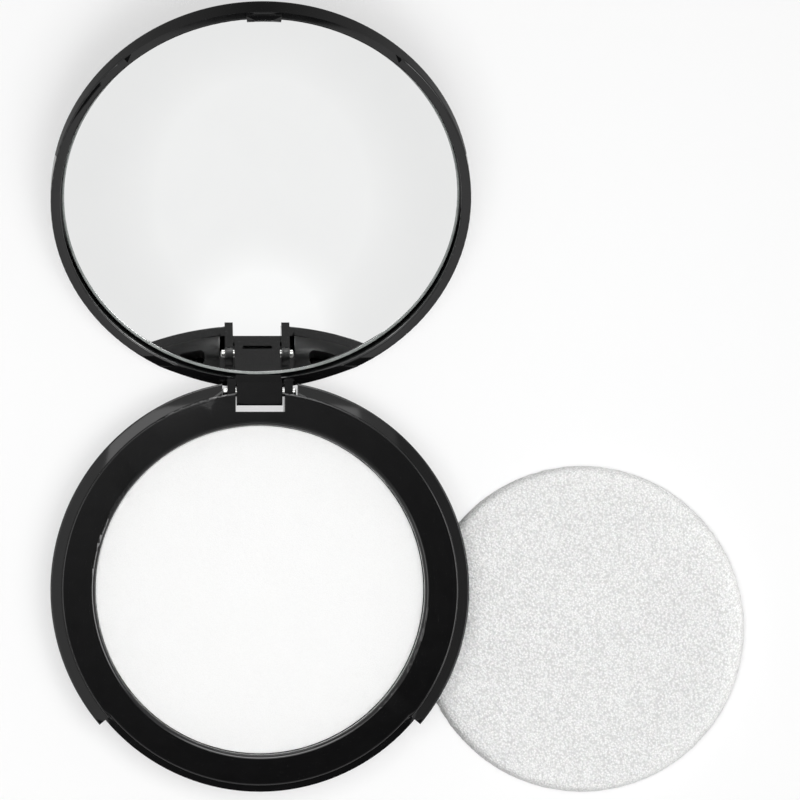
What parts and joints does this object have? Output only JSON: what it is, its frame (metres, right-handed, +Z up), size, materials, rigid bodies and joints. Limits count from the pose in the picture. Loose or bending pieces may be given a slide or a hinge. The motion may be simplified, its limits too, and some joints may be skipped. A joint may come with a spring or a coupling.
{
  "type": "powder compact",
  "caption": "Round black powder compact lying open, with a hinged mirror lid, pressed powder in a well in the base and a loose round puff to apply it.",
  "frame": {"origin": "centre of the base's flat foot, on the table", "axes": "+Z up, +Y towards the hinge and the opened lid, +X to the side where the puff lies"},
  "size_m": [0.1272, 0.1432, 0.0406],
  "materials": {
    "black_plastic": "gloss black moulding",
    "pan_aluminium": "bright drawn sheet",
    "white_powder": "matt pressed powder",
    "pan_glue": "milky glue",
    "pin_steel": "bright drawn wire",
    "mirror": "silvered glass",
    "mirror_pad": "foam tape",
    "puff_sponge": "felted white sponge"
  },
  "bodies": {
    "base": {"base_shell": "black_plastic", "pan_tray": "black_plastic", "powder_pan": "pan_aluminium", "pressed_powder": "white_powder", "pan_adhesive": "pan_glue", "hinge_pin": "pin_steel"},
    "lid": {"lid_shell": "black_plastic", "mirror_glass": "mirror", "mirror_adhesive": "mirror_pad"},
    "puff": {"puff": "puff_sponge"}
  },
  "joints": [
    {"name": "lid_hinge", "type": "hinge", "parent": "base", "child": "lid", "pos_m": [0, 0.03583, 0.0103], "axis": [-1, 0, 0], "range_deg": [-152.75, 0]},
    {"name": "puff_slide", "type": "slide", "parent": "base", "child": "puff", "axis": [1, 0, 0], "range_m": [0, 0.03]}
  ]
}
